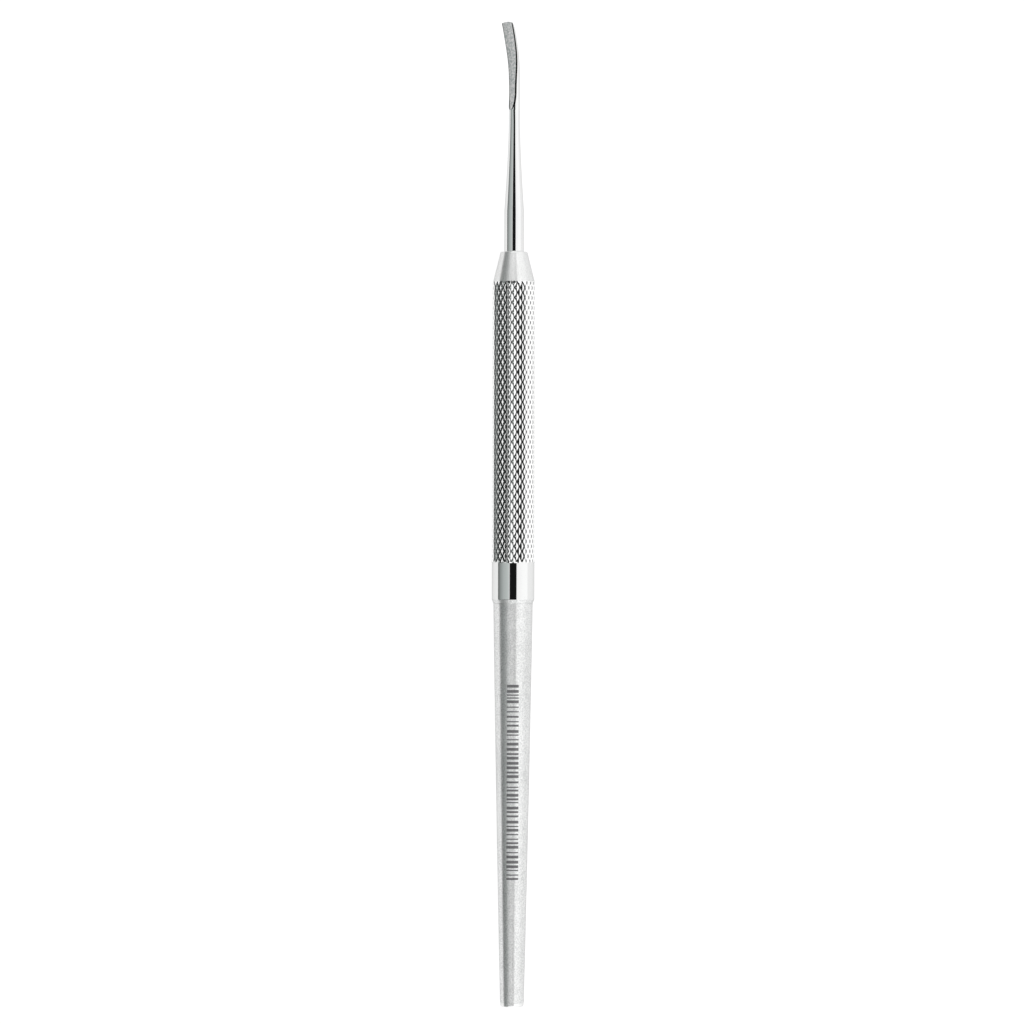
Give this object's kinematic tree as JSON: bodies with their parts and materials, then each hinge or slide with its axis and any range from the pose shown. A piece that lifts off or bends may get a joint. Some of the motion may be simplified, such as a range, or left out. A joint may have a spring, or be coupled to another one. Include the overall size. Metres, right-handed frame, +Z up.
{
  "type": "dental elevator",
  "caption": "Slim straight-handled dental root elevator: bent hollow-ground gouge blade, polished tapered shank, diamond-knurled grip with a polished band, and a tapered satin tail.",
  "frame": {"origin": "on the surface that the instrument lies on, below the middle of its length and of its width", "axes": "+X along the instrument's axis towards the blade's tip, +Z up from the surface; the blade's ground face looks halfway between +Y and +Z, and the blade bends that way"},
  "size_m": [0.175, 0.0078, 0.0077],
  "materials": {
    "hardened_steel_polished": "mirror-polished hardened stainless steel; the blade's face is fine-ground and matte",
    "steel_knurled_bright": "polished stainless steel with a diamond knurl",
    "steel_satin": "satin-blasted stainless steel",
    "steel_as_turned": "stainless steel as turned, not seen from outside"
  },
  "bodies": {
    "root": {"working_end": "hardened_steel_polished", "nose_bush": "steel_satin", "grip_tube": "steel_knurled_bright", "joint_spigot": "steel_as_turned", "tail_tube": "steel_satin", "tail_plug": "steel_satin"}
  },
  "joints": []
}
